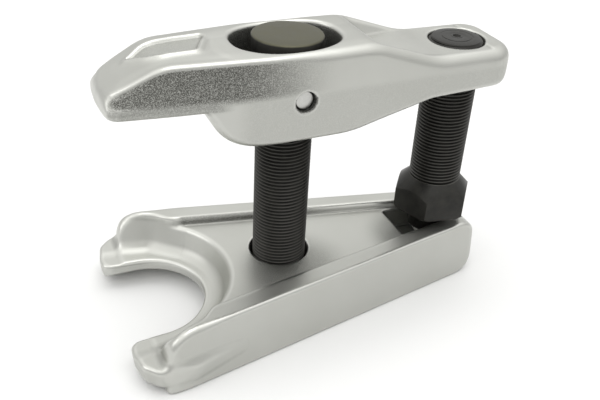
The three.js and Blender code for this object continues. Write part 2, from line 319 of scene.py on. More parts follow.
def lever_plan_low():
    """The arm's plan up to where its sides start to lean."""
    return rounded(mirrored([
        (REAR_END, 17.6, 10), (55, 18.3, 60), (14, 19.7, 90), (-12, 19.7, 80), (-46, 17.4, 60),
        (-68.2, 15.4, 5), (-69.7, 9, 12), (NOSE_TIP, 0.5, 0.4),
    ]))


def lever_plan_top():
    """The arm's plan at its top edge."""
    return rounded(mirrored([
        (REAR_END, 17.0, 10), (55, 17.8, 60), (12, 19.3, 90), (-12, 19.0, 80), (-46, 15.6, 40),
        (-61, 13.9, 20), (-67.6, 12.2, 5), (-69.3, 6, 8), (NOSE_TIP + 0.5, 0.5, 0.4),
    ]))


def lever_underside():
    """The side outline, left open far above the arm, where the top surface trims it."""
    far_above = 140
    return rounded([
        (NOSE_TIP, far_above, 0), (NOSE_TIP, 97.0, 2.4), (-35.9, 96.9, 0.8),
        *arc((-16.0, 100.7), 19.6, 194, 268),
        (20, 81.7, 40), (53.5, 90.4, 22), (REAR_END, 92.2, 7), (REAR_END, far_above, 0),
    ])


def lever_crest(x):
    """The height of the arm's top along its length."""
    line = rounded([
        (NOSE_TIP - 4.5, 101.2, 0), (-49.6, LEVER_TOP, 20), (28, LEVER_TOP + 0.7, 28),
        (55.5, LEVER_REAR_TOP, 34), (REAR_END + 3, LEVER_REAR_TOP, 0),
    ], closed=False)
    return np.interp(x, line[:, 0], line[:, 1])


def nose_panel(x, y):
    """Signed distance in plan from the edge of the nose's sunk panel, which lies askew."""
    edge = rounded([
        (-58.5, 4.0, 1.0), (-50.0, -5.8, 9), (-35.0, -5.2, 2.5), (-28.6, 8.4, 1.2), (-29.2, 10.8, 0.8),
        (-40, 10.2, 14), (-51.5, 8.4, 7),
    ])
    return outline_distance(edge, x, y)


def lever_top(x, y, edge):
    """The arm's upper surface: a crest line, and on the nose a sunk panel with a ridge along its
    near side."""
    panel = nose_panel(x, y)
    near = ease(6.5, 2.5, y)
    ridge = (FAR_RIDGE + NEAR_RIDGE * near) * np.exp(-(((panel - 0.2) / RIDGE_WIDTH) ** 2))
    floor = PANEL_DEPTH * ease(0.1, -1.2, panel)
    collar = ease(-1.2, 1.6, x - (COLLAR_FRONT + 0.02 * (y + 3) ** 2)) * near
    crown = REAR_CROWN * ease(0, 8, -edge) * ease(60, 40, x)
    valley = VALLEY_DEPTH * near * ease(0.8, 3.6, panel) * ease(1.5, 5, -edge) * ease(-64, -52, x)
    nose = (ridge - floor - valley) * (1 - collar)
    return lever_crest(x) + crown + nose


def lever_sides(x, y, z, low, high):
    """The sides: nearly upright at the bottom and leaning in above, more so towards the nose,
    where a shallow scoop under the top edge keeps the blasted grain."""
    rise = np.maximum(lever_crest(x) - LEVER_BAND, LEVER_LEAST_RISE)
    share = np.clip((z - LEVER_BAND) / rise, 0, 1.15)
    lean = np.sqrt(1 + ((high - low) / rise) ** 2)
    across = ease(0, 0.5, share) * ease(0.98, 0.82, share)
    scoop = SCOOP_DEPTH * across * ease(8, -22, x) * ease(-69, -66, x)
    draft = BOSS_DRAFT * np.maximum(LEVER_BAND - z, 0) * ease(-34, -22, x) * ease(60, 30, x)
    return blend(low, high, share) / lean + scoop + draft


def pocket_level(x, y):
    """0 on the oval pocket's outline, below zero inside it and above zero outside."""
    u = np.abs((x - POCKET["centre"]) / POCKET["length"])
    v = np.abs(y / POCKET["width"])
    return (u ** POCKET["power"] + v ** POCKET["power"]) ** (1 / POCKET["power"]) - 1


def pocket_distance(x, y):
    """Roughly the signed distance from the oval pocket's wall."""
    level = pocket_level(x, y)
    slope_x, slope_y = np.gradient(level[:, :, 0], STEP)
    return level / np.maximum(np.hypot(slope_x, slope_y), 0.02)[:, :, None]


def rear_recess(x, y, z):
    """The recess behind the pocket: a sloped front wall, sides that lean outwards, and a floor
    level with the rear eye."""
    side = rounded([(25.5, 122, 0), (29.2, LEVER_TOP, 0), (36.5, LEVER_REAR_TOP, 2.5),
                    (80, LEVER_REAR_TOP, 0), (80, 122, 0)])
    half = RECESS_HALF_WIDTH - RECESS_LEAN * (lever_crest(x) - z)
    return both(outline_distance(side, x, z), (np.abs(y) - half) / RECESS_LEAN_LENGTH, 1.2)


def lever_field(x, y, z):
    """The whole arm. Its edges are rounder towards the rear than on the nose."""
    low = outline_distance(lever_plan_low(), x, y)
    high = outline_distance(lever_plan_top(), x, y)
    sides = lever_sides(x, y, z, low, high)
    underside = outline_distance(lever_underside(), x, z)
    top = under_surface(lever_top(x, y, high), z)
    top_radius = 2.2 + 1.3 * ease(-20, 10, x) + 1.3 * ease(15, 50, x)
    bottom_radius = 2.0 + 1.0 * ease(97, 93.5, z) * ease(-6, -20, x)
    body = both(both(sides, underside, bottom_radius), top, top_radius)
    body = without(body, pocket_distance(x, y) + 0 * z, 1.5)
    body = without(body, rear_recess(x, y, z), 1.6)
    eye = np.hypot(x - SCREW_X, y) - EYE_RADIUS + 0 * z
    pin_hole = np.hypot(x, z - PIN_Z) - PIN_HOLE_RADIUS + 0 * y
    return without(without(body, eye, 0.25), pin_hole, 0.15)


def lever_grain_and_shade(points, normals):
    """Where the blasted grain was left: the nose's sloping sides and its panel's floor, the pocket's
    wall, the pin hole's wall, and faintly the sides of the boss. In the pin hole it is strong enough
    to be painted shade."""
    x, y, z = points.T
    sideways_facing = np.abs(normals[:, 1])
    below_edge = ease(0.8, 1.8, lever_crest(x) - z)
    height = np.maximum(0.55 * ease(97, 98, z) * ease(-24, -34, x), ease(98.5, 102.5, z))
    side = ease(0.35, 0.7, sideways_facing) * ease(16, -26, x) * height * below_edge
    floor = ease(-0.6, -1.2, nose_panel(x, y)) * ease(108, 110, z)
    wall = ease(0.1, 0.033, np.abs(pocket_level(x, y))) * ease(0.5, 0.2, normals[:, 2])
    # Painted shade: the pin hole's wall is darkened strongly.
    hole = ease(4.9, 4.4, np.hypot(x, z - PIN_Z)) * ease(0.9, 0.6, sideways_facing)
    low_side = ease(102, 99, z) * ease(-28, -18, x) * ease(0.3, 0.7, sideways_facing)
    shares = LEVER_GRAIN_AND_SHADE
    return np.maximum.reduce([
        side, shares["floor"] * floor, shares["wall"] * wall, shares["hole"] * hole,
        shares["low_side"] * low_side,
    ])


def make_lever_arm():
    low = (NOSE_TIP - 2, -22, 79)
    x, y, z = lattice(low, (REAR_END + 2, 22, 118))
    return sculpted("lever_arm", lever_field(x, y, z), low, lever_grain_and_shade)


# ---- the fork arm ----

FORK_TOP = 25.1
FORK_REAR = 91.3
FORK_HALF_WIDTH = 45.5
FORK_TAPER = 0.2  # how much each side flares for each unit of length in front of the tie bolt
REAR_NARROWING = 18.2  # how much each side has drawn in at the rear end
BASE_HALF_WIDTH = 34.75  # at the tie bolt, on the floor
TOP_HALF_WIDTH = 31.9  # at the tie bolt, on the rims
HORN_FRONT = -60.4
MOUTH = (-57.0, 0.0)  # the centre of the fork opening's round end
MOUTH_RADIUS = 23.2
LIP_TOP = 11.0
LIP_RISE = 0.4
TINE_UNDERSIDE = 1.4
TINE_DRAFT = 0.08  # how much the slab's sides draw in for each unit of depth below their widest
TINE_WIDEST = 12
DISH_FILLET = 3.8
PAN_FLOOR = 21.9
PAN_HALF_WIDTH = 22.9  # at the tie bolt
PAN_TAPER = 0.187
PAN_LEAN = 0.28
PAN_FRONT_RADIUS = 31.0  # about the mouth's centre
PAN_REAR = 83
GROOVE_FLOOR = 12
BOLT_HOLE_RADIUS = 12.2
NUT_RECESS_RADIUS = 20.5
NUT_RECESS_TOP = 15
# How strong the grain and its painted shade are, where the lever arm's sloping sides have 1.
FORK_GRAIN_AND_SHADE = {"floor": 0.45, "far_rim": 0.85, "rim_by_bolt": 0.75, "rim_by_screw": 0.675}


def fork_plan(half_width, front, front_radius):
    """The long part of the arm, which widens towards the front."""
    return rounded(mirrored([
        (FORK_REAR, half_width - REAR_NARROWING, 7),
        (front, half_width - FORK_TAPER * front, front_radius),
    ]))


def tine_plan():
    """The two tines, joined behind the mouth."""
    return rounded(mirrored([
        (-30, 38, 0), (-50, 45.0, 10), (-62.8, 45.3, 7), (-68.3, 39.5, 6), (-70, 31, 9), (-69.7, 26, 4.5),
        (-66, 22.4, 4), (-60, 22, 0), (-30, 18, 0),
    ]))


def mouth_plan():
    """The fork's opening: a round end and nearly straight sides."""
    return rounded(mirrored([*arc(MOUTH, MOUTH_RADIUS, 0, 90), (-66, 23.9, 8), (-73, 25.4, 0)]))


def dish_plan():
    """The dish's outline at the pan's level: round at the back, and open between the horns."""
    return rounded(mirrored([
        *arc((-60, 0), 36.4, 0, 42), (-45.5, 35.9, 12), (-60, 39.4, 8), (-90, 43.4, 0),
    ]))


def from_mouth(x, y):
    """Distance in plan from the channel's middle line: round the mouth's centre, and straight
    out in front of it."""
    return np.hypot(np.maximum(x - MOUTH[0], 0), y)


def fork_side_view(x, z):
    """The arm's long side. The horns round down to the tines in front, and the rear end is
    rounded more at the bottom than at the top."""
    outline = rounded([
        (HORN_FRONT - 0.8, 0, 1.5), (FORK_REAR, 0, 12), (FORK_REAR, FORK_TOP, 11),
        (HORN_FRONT, FORK_TOP, 13), (HORN_FRONT - 1.6, 5, 2),
    ])
    return outline_distance(outline, x, z)


def fork_body(x, y, z):
    """The long part with its leaning sides, and the slab that the tines belong to."""
    low = outline_distance(fork_plan(BASE_HALF_WIDTH, HORN_FRONT - 1.2, 4), x, y)
    high = outline_distance(fork_plan(TOP_HALF_WIDTH, HORN_FRONT, 4), x, y)
    sides = blend(low, high, np.clip(z / FORK_TOP, 0, 1))
    edge_radius = 1.2 + 1.2 * ease(-32, -48, x) * ease(6, 14, z)
    tall = both(sides, fork_side_view(x, z) + 0 * y, edge_radius)
    plate = outline_distance(tine_plan(), x, y) + TINE_DRAFT * (TINE_WIDEST - z)
    slab = both(plate, z - lip_height(x, y), 1.8)
    slab = both(slab, TINE_UNDERSIDE - z, 4.0)
    fillet = blend(0.8, 3.2, ease(3, 9, z))
    return both(either(tall, slab, fillet), np.abs(y) - FORK_HALF_WIDTH, 1.0)


def lip_height(x, y):
    """The lip's top, which rises gently from the mouth outwards and runs on as the tines' top."""
    out = np.maximum(from_mouth(x, y) - MOUTH_RADIUS, -3)
    return LIP_TOP + LIP_RISE * np.tanh(out / 9)


def dish(x, y, z):
    """The hollow over the lip: a floor that rises outwards, and a wall that leans back more
    between the horns than at the rear."""
    lean = blend(0.33, 0.55, ease(-28, -56, x))
    depth = np.maximum(PAN_FLOOR - z, -1)
    wall = (outline_distance(dish_plan(), x, y) + lean * depth) / np.sqrt(1 + lean**2)
    return both(wall, lip_height(x, y) - z, DISH_FILLET)


def under_lip(x, y, z):
    """The hollow that thins the lip from below, in section outwards from the mouth's middle."""
    section = rounded([(-5, -4, 0), (34, -4, 0), (32.5, 0, 3), (MOUTH_RADIUS - 1, 7.4, 0), (-5, 7.6, 0)])
    return outline_distance(section, from_mouth(x, y), z)


def pan(x, y, z):
    """The shallow hollow between the rims, behind the dish."""
    half = PAN_HALF_WIDTH - PAN_TAPER * x
    wall = (np.abs(y) - half + PAN_LEAN * (FORK_TOP - z)) / math.hypot(1, PAN_LEAN)
    front = PAN_FRONT_RADIUS - from_mouth(x, y)
    inside = both(both(wall, x - PAN_REAR, 3), front, 1)
    return both(inside, PAN_FLOOR - z, 0.7)


def seat_groove(x, y, z):
    """The groove in which the forcing screw's ball bears."""
    outline = rounded(mirrored([(86.5, 9.1, 3), (55, 9.5, 1.2)]))
    return both(outline_distance(outline, x, y), GROOVE_FLOOR - z, 0.8)


def fork_field(x, y, z):
    """The whole arm: the body, with the mouth, the hollows and the bolt's hole cut into it."""
    body = fork_body(x, y, z)
    body = without(body, outline_distance(mouth_plan(), x, y) + 0 * z, 0.7)
    body = without(body, dish(x, y, z), blend(0.9, 1.7, ease(-36, -46, x)))
    body = without(body, under_lip(x, y, z), 0.7)
    body = without(body, pan(x, y, z), 1.5)
    body = without(body, seat_groove(x, y, z), 0.6)
    from_bolt = np.hypot(x, y)
    body = without(body, both(from_bolt - NUT_RECESS_RADIUS, z - NUT_RECESS_TOP, 0.6), 0.6)
    return without(body, from_bolt - BOLT_HOLE_RADIUS + 0 * z, 0.3)


def fork_grain_and_shade(points, normals):
    """Where the blasted grain was put, and with it painted shade: on the pan's floor beside the two
    screws, where their shadows and dark reflections fall, and on stretches of the rims' inner walls,
    where shade falls."""
    x, y, z = points.T
    upward = normals[:, 2]
    inward = -np.sign(y) * normals[:, 1]
    # Painted shade beside the tie bolt and the forcing screw, where their shadows and reflections fall,
    # along with the grain.
    by_bolt = ease(27, 10, np.hypot(x - 1, y + 13))
    by_screw = ease(26, 14, np.hypot(x - 62, y + 10))
    floor = ease(23, 22, z) * ease(19, 21, z) * ease(0.7, 0.9, upward) * np.maximum(by_bolt, by_screw)
    # Painted shade on the rims' inner walls, along with the grain.
    rim_wall = ease(21.8, 22.3, z) * ease(25.2, 24.8, z) * ease(0.1, 0.3, inward)
    far = ease(5, 10, y) * ease(-36, -33, x) * ease(40, 10, x)
    near_bolt = ease(-5, -10, y) * ease(-14, -4, x) * ease(24, 8, x)
    near_screw = ease(-5, -10, y) * ease(40, 58, x)
    shares = FORK_GRAIN_AND_SHADE
    rims = np.maximum.reduce([
        shares["far_rim"] * far, shares["rim_by_bolt"] * near_bolt, shares["rim_by_screw"] * near_screw,
    ])
    return np.maximum(shares["floor"] * floor, rim_wall * rims)


def make_fork_arm():
    low = (-73, -48, -2)
    x, y, z = lattice(low, (93, 48, 27.5))
    return sculpted("fork_arm", fork_field(x, y, z), low, fork_grain_and_shade)


# ---- turned and threaded pieces ----

PITCH = 1.5
CREST = 11.0  # the thread's outer radius
THREAD_DEPTH = 0.92
WELD = 0.001  # vertices closer than this are one
# Where the thread's section bends, as shares of the pitch, and how deep it is there.
THREAD_SECTION = [(0, 0), (0.03, 0), (0.095, 0), (0.125, 0.05), (0.40, 0.95), (0.4375, 1),
                  (0.6875, 1), (0.725, 0.95)]


def ring(mesh, radius, height, centre=0):
    """A ring of vertices about the vertical axis at x = centre."""
    made = []
    for i in range(SEGMENTS):
        angle = 2 * math.pi * i / SEGMENTS
        made.append(mesh.verts.new((centre + radius * math.cos(angle), radius * math.sin(angle), height)))
    return made


def bridge(mesh, below, above):
    """Faces between two rings of vertices."""
    count = len(below)
    for i in range(count):
        j = (i + 1) % count
        mesh.faces.new((below[i], below[j], above[j], above[i]))


def turned(name, profile, centre=0.0):
    """A closed turned piece from (radius, height) pairs that run upwards, with flat ends."""
    mesh = bmesh.new()
    rings = [ring(mesh, radius, height, centre) for radius, height in profile]
    for below, above in zip(rings, rings[1:]):
        bridge(mesh, below, above)
    mesh.faces.new(rings[0][::-1])
    mesh.faces.new(rings[-1])
    return finished(name, mesh)


def finished(name, mesh):
    """A scratch mesh in millimetres about the tie bolt's axis, as an object in the row frame."""
    bmesh.ops.translate(mesh, verts=mesh.verts, vec=(TIE_X, 0, 0))
    bmesh.ops.scale(mesh, verts=mesh.verts, vec=(MM, MM, MM))
    bmesh.ops.recalc_face_normals(mesh, faces=mesh.faces)
    data = bpy.data.meshes.new(name)
    mesh.to_mesh(data)
    mesh.free()
    return linked(name, data)


def threaded_rod(name, low, high, centre=0.0, chamfer=1.3):
    """A right-hand thread between two heights, with chamfered flat ends."""
    mesh = bmesh.new()
    turns = math.ceil((high - low) / PITCH) + 2
    rows = []
    for turn in range(-1, turns):
        for share, depth in THREAD_SECTION:
            row = []
            for i in range(SEGMENTS + 1):
                part = i / SEGMENTS
                height = min(max(low + (turn + share + part) * PITCH, low), high)
                inset = max(chamfer - (height - low), chamfer - (high - height), 0)
                radius = min(CREST - THREAD_DEPTH * depth, CREST - inset)
                angle = 2 * math.pi * part
                place = (centre + radius * math.cos(angle), radius * math.sin(angle), height)
                row.append(mesh.verts.new(place))
            rows.append(row)
    for below, above in zip(rows, rows[1:]):
        for i in range(SEGMENTS):
            mesh.faces.new((below[i], below[i + 1], above[i + 1], above[i]))
    bmesh.ops.remove_doubles(mesh, verts=mesh.verts, dist=WELD)
    bmesh.ops.dissolve_degenerate(mesh, edges=mesh.edges, dist=WELD / 2)
    open_edges = [edge for edge in mesh.edges if len(edge.link_faces) == 1]
    bmesh.ops.holes_fill(mesh, edges=open_edges, sides=0)
    return finished(name, mesh)


def combined(piece, other, operation):
    """Joins or cuts a piece with another closed piece, which is then removed."""
    step = piece.modifiers.new("combine", "BOOLEAN")
    step.operation = operation
    step.object = other
    step.solver = "MANIFOLD"
    apply_modifiers(piece)
    bpy.data.objects.remove(other)
    return piece


def apply_modifiers(piece):
    """Turns what the modifiers give into the piece's own mesh."""
    shown = piece.evaluated_get(bpy.context.evaluated_depsgraph_get())
    data = bpy.data.meshes.new_from_object(shown)
    piece.modifiers.clear()
    piece.data = data


def smooth(piece, angle=30):
    """Shades a piece smooth except across edges sharper than the angle, in degrees."""
    data = piece.data
    data.polygons.foreach_set("use_smooth", [True] * len(data.polygons))
    data.set_sharp_from_angle(angle=math.radians(angle))
    return piece


def bevelled(piece, width, angle=25):
    """Breaks the edges that are sharper than the angle, by a width in millimetres."""
    step = piece.modifiers.new("bevel", "BEVEL")
    step.width = width * MM
    step.segments = 2
    step.limit_method = "ANGLE"
    step.angle_limit = math.radians(angle)
    apply_modifiers(piece)
    return piece


def hexagon(name, across_flats, low, high, rim, slopes, turn, centre=0.0):
    """A six-sided bar whose corners are cut by cones. The cones meet its bottom and top in circles
    with the radii in rim, and slopes gives their rise for each unit of radius."""
    corner = across_flats / math.sqrt(3)
    margin = 0.4  # how far the cones reach beyond the corners
    lid = 0.01  # how far they reach beyond the bottom and top
    mesh = bmesh.new()
    bmesh.ops.create_cone(mesh, cap_ends=True, segments=6, radius1=corner, radius2=corner,
                          depth=high - low)
    bmesh.ops.rotate(mesh, verts=mesh.verts, matrix=Matrix.Rotation(math.radians(turn), 3, "Z"))
    bmesh.ops.translate(mesh, verts=mesh.verts, vec=(centre, 0, (low + high) / 2))
    bar = finished(name, mesh)
    bottom, top = rim
    outside = corner + margin
    cone = [(bottom, low - lid), (bottom, low), (outside, low + (outside - bottom) * slopes[0]),
            (outside, high - (outside - top) * slopes[1]), (top, high), (top, high + lid)]
    return combined(bar, turned(name + "_cone", cone, centre), "INTERSECT")


def laid_across(piece, height):
    """Turns a piece from the tie bolt's axis to lie across it along Y, at that height."""
    turn = Matrix.Translation((TIE_X * MM, 0, height * MM)) @ Matrix.Rotation(math.pi / 2, 4, "X")
    piece.data.transform(turn @ Matrix.Translation((-TIE_X * MM, 0, 0)))
    return piece


# ---- the screws, nut, washer, pin and ball ----

TIE_THREAD_TOP = 88.5
CROSS_HOLE_RADIUS = 4.35
HEX_LOW = 28.9
HEX_HIGH = 44.5
HEX_FLATS = 30
HEX_RIMS = (16.4, 11.0)  # where the cones meet its underside and its top
HEX_SLOPES = (1.0, 1.03)
HEX_TURN = 21  # degrees
SCREW_THREAD_LOW = 43.2
SOCKET_CLEARANCE = 0.2
NUT_FLATS = 32
NUT_RIM = 15.6
NUT_SLOPE = 0.58


def box_z(node):
    """A node's lowest and highest points, in millimetres."""
    low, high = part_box(node)
    return low.z / MM, high.z / MM


def make_tie_bolt():
    """A threaded rod with a flat round head, drilled for the cross pin."""
    low, high = box_z("tie_bolt")
    bolt = threaded_rod("tie_bolt_body", low, TIE_THREAD_TOP)
    head = turned("head", [
        (11.6, 85.4), (12.6, 85.9), (13.15, 86.8), (13.35, 88), (13.35, high - 0.7), (13.2, high - 0.35),
        (12.85, high - 0.08), (12.4, high), (6, high - 0.04),
    ])
    bolt = combined(bolt, head, "UNION")
    drill = turned("cross_hole", [(CROSS_HOLE_RADIUS, -20), (CROSS_HOLE_RADIUS, 20)])
    bolt = combined(bolt, laid_across(drill, PIN_Z), "DIFFERENCE")
    return smooth(bolt, 35)


def make_forcing_screw():
    """A threaded rod with a hex and a neck below, a socket for the ball, and a low turned dome with
    a centre drilling on top."""
    low, high = box_z("forcing_screw")
    screw = threaded_rod("forcing_screw_body", SCREW_THREAD_LOW, high - 0.5, SCREW_X)
    nose = hexagon("hex", HEX_FLATS, HEX_LOW, HEX_HIGH, HEX_RIMS, HEX_SLOPES, HEX_TURN, SCREW_X)
    neck = turned("neck", [
        (7.9, low), (8.7, low + 0.9), (8.7, HEX_LOW - 0.9), (9.4, HEX_LOW - 0.2), (9.4, HEX_LOW + 1.1),
    ], SCREW_X)
    screw = combined(screw, bevelled(nose, 0.2), "UNION")
    screw = combined(screw, neck, "UNION")
    dome = turned("dome", [
        (9.75, high - 1.6), (9.75, high - 0.5), (8.6, high - 0.28), (6.8, high - 0.2), (6.6, high - 0.28),
        (6.0, high - 0.28), (5.8, high - 0.12), (3.2, high - 0.02), (2.9, high - 0.1), (2.5, high - 0.1),
        (2.3, high), (1.75, high),
    ], SCREW_X)
    screw = combined(screw, dome, "UNION")
    screw = combined(screw, turned("drill", [
        (0.05, high - 3.2), (0.6, high - 2.4), (0.65, high - 1.5), (1.8, high + 0.2),
    ], SCREW_X), "DIFFERENCE")
    screw = combined(screw, ball_at("socket", SOCKET_CLEARANCE), "DIFFERENCE")
    return smooth(screw, 20)


def ball_at(name, extra=0.0):
    """The tip ball's sphere, or one larger by extra."""
    low, high = box_z("tip_ball")
    mesh = bmesh.new()
    bmesh.ops.create_icosphere(mesh, subdivisions=5, radius=(high - low) / 2 + extra)
    bmesh.ops.translate(mesh, verts=mesh.verts, vec=(SCREW_X, 0, (low + high) / 2))
    return finished(name, mesh)


def make_nut():
    """A hex nut with chamfered corners and a plain, countersunk bore."""
    low, high = box_z("adjusting_nut")
    nut = hexagon("nut_body", NUT_FLATS, low, high, (NUT_RIM, NUT_RIM), (NUT_SLOPE, NUT_SLOPE), 0)
    nut = bevelled(nut, 0.25)
    bore = turned("bore", [(12.2, low - 1), (12.2, low + 0.2), (11.25, low + 1.1), (11.25, high - 1.1),
                           (12.2, high - 0.2), (12.2, high + 1)])
    return smooth(combined(nut, bore, "DIFFERENCE"))


def make_washer():
    """A flat ring with broken edges."""
    low, high = box_z("seat_washer")
    washer = turned("washer_body", [(17.6, low), (18, low + 0.4), (18, high - 0.4), (17.6, high)])
    hole = turned("hole", [(12, low - 1), (12, low), (11.65, low + 0.35), (11.65, high - 0.35),
                           (12, high), (12, high + 1)])
    return smooth(combined(washer, hole, "DIFFERENCE"))


def make_pin():
    """The cross pin, with rounded ends."""
    low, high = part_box("pivot_pin")
    half = (high.y - low.y) / 2 / MM
    radius = (high.z - low.z) / 2 / MM
    end = [(radius, half - 1.0), (radius - 0.2, half - 0.5), (radius - 0.6, half - 0.2),
           (radius - 2.0, half - 0.05), (0.3, half)]
    pin = turned("pin_body", [(r, -h) for r, h in reversed(end)] + end)
    return smooth(laid_across(pin, PIN_Z))


def make_ball():
    """The ball in the forcing screw's lower end."""
    return smooth(ball_at("ball_body"), 60)


# ---- materials ----

SATIN_DARK = (0.485, 0.488, 0.458, 1)
SATIN_LIGHT = (0.53, 0.533, 0.505, 1)
# The grain's dark pits, also used as painted shade where the grain value is made strong.
GRAIN_PITS_AND_SHADE = (0.11, 0.11, 0.10, 1)
# Painted shade for concave creases.
CREASE_SHADE = (0.24, 0.24, 0.225, 1)
POLISHED = (0.66, 0.66, 0.63, 1)
OXIDE_DARK = (0.017, 0.0165, 0.015, 1)
OXIDE_LIGHT = (0.030, 0.029, 0.025, 1)
# Lighter thread crests: partly wear, partly a painted highlight for their glints.
CREST_WEAR_AND_GLINT = (0.062, 0.060, 0.054, 1)
WORN_DARK = (0.068, 0.066, 0.040, 1)
WORN_LIGHT = (0.092, 0.089, 0.056, 1)
STEEL_DARK = (0.50, 0.50, 0.48, 1)
STEEL_LIGHT = (0.56, 0.56, 0.54, 1)
FLOOR_DARK = (0.80, 0.80, 0.80, 1)
FLOOR_LIGHT = (0.83, 0.83, 0.83, 1)
# Noise scales, in cells per metre.
BLAST_COARSE = 2700
BLAST_FINE = 5200
SATIN_CLOUD = 38
OXIDE_FINE = 3500
OXIDE_CLOUD = 220
TURNING_MARKS = 900
FLOOR_CLOUD = 3


class Nodes:
    """Short calls for building one material's node tree."""

    def __init__(self, name):
        self.material = bpy.data.materials.new(name)
        self.material.use_nodes = True
        self.tree = self.material.node_tree
        self.shader = self.tree.nodes["Principled BSDF"]
        self.place = self.add("ShaderNodeTexCoord").outputs["Object"]

    def add(self, kind, **settings):
        """A new node with those settings."""
        node = self.tree.nodes.new(kind)
        for key, value in settings.items():
            setattr(node, key, value)
        return node

    def wire(self, source, socket):
        """Gives a socket a number, a colour, or another node's output."""
        if isinstance(source, (int, float, tuple)):
            socket.default_value = source
        else:
            self.tree.links.new(source, socket)

    def noise(self, scale, detail=3.0, roughness=0.55, stretch=(1, 1, 1)):
        """Noise with that many cells per metre."""
        mapping = self.add("ShaderNodeMapping")
        mapping.inputs["Scale"].default_value = stretch
        self.wire(self.place, mapping.inputs["Vector"])
        node = self.add("ShaderNodeTexNoise")
        self.wire(mapping.outputs["Vector"], node.inputs["Vector"])
        node.inputs["Scale"].default_value = scale
        node.inputs["Detail"].default_value = detail
        node.inputs["Roughness"].default_value = roughness
        return node.outputs["Fac"]

    def value(self, name):
        """A value kept on the mesh, such as edge or grain."""
        return self.add("ShaderNodeAttribute", attribute_name=name).outputs["Fac"]

    def maths(self, operation, a, b=0.0, clamp=False):
        """The result of one arithmetic step."""
        node = self.add("ShaderNodeMath", operation=operation, use_clamp=clamp)
        self.wire(a, node.inputs[0])
        self.wire(b, node.inputs[1])
        return node.outputs[0]

    def ramp(self, source, low, high, to_low=0.0, to_high=1.0):
        """Maps a range of the source onto another range, with its ends held."""
        node = self.add("ShaderNodeMapRange")
        self.wire(source, node.inputs["Value"])
        limits = {"From Min": low, "From Max": high, "To Min": to_low, "To Max": to_high}
        for socket, number in limits.items():
            self.wire(number, node.inputs[socket])
        return node.outputs["Result"]

    def mix(self, share, a, b):
        """Colour a where the share is 0, and b where it is 1."""
        node = self.add("ShaderNodeMix", data_type="RGBA")
        self.wire(share, node.inputs["Factor"])
        self.wire(a, node.inputs["A"])
        self.wire(b, node.inputs["B"])
        return node.outputs["Result"]

    def bump(self, height, distance, strength=1.0, before=None):
        """Distance is the height's full size in metres."""
        node = self.add("ShaderNodeBump")
        node.inputs["Distance"].default_value = distance
        self.wire(strength, node.inputs["Strength"])
        self.wire(height, node.inputs["Height"])
        if before is not None:
            self.wire(before, node.inputs["Normal"])
        return node.outputs["Normal"]

    def done(self, colour, metallic, roughness, normal):
        """Wires the shader and gives back the finished material."""
        self.wire(colour, self.shader.inputs["Base Color"])
        self.wire(metallic, self.shader.inputs["Metallic"])
        self.wire(roughness, self.shader.inputs["Roughness"])
        self.wire(normal, self.shader.inputs["Normal"])
        return self.material


def forged_material():
    """Satin plated forging: fine blasting all over, brighter edges, painted shade in the creases, and
    coarse grain where a polishing wheel doesn't reach, whose dark pits also paint shade in places."""
    n = Nodes("forged_satin")
    edge = n.ramp(n.value("edge"), 0.06, 0.5)
    crease_shade = n.ramp(n.value("edge"), -0.08, -0.5)
    grain = n.value("grain")
    coarse = n.noise(BLAST_COARSE, 2.0, 0.6)
    fine = n.noise(BLAST_FINE, 2.0, 0.5)
    cloud = n.noise(SATIN_CLOUD, 3.0, 0.5)
    # Dark pits of the grain, which also paint shade on the fork arm's pan and rims and in the pin hole.
    pits_and_shade = n.maths("MULTIPLY", grain, n.ramp(coarse, 0.44, 0.62, 1.0, 0.34))
    colour = n.mix(n.ramp(cloud, 0.3, 0.7), SATIN_DARK, SATIN_LIGHT)
    colour = n.mix(pits_and_shade, colour, GRAIN_PITS_AND_SHADE)
    # Painted shade in the creases, where the curvature is concave.
    colour = n.mix(n.maths("MULTIPLY", crease_shade, 0.35), colour, CREASE_SHADE)
    colour = n.mix(n.maths("MULTIPLY", edge, 0.3), colour, POLISHED)
    rough = n.ramp(cloud, 0.3, 0.7, 0.37, 0.45)
    rough = n.maths("SUBTRACT", rough, n.maths("MULTIPLY", edge, 0.08))
    rough = n.maths("ADD", rough, n.maths("MULTIPLY", grain, 0.06), clamp=True)
    normal = n.bump(fine, 0.00003, 0.35)
    normal = n.bump(coarse, 0.0005, n.maths("MULTIPLY", grain, 0.9), normal)
    return n.done(colour, 1.0, rough, normal)


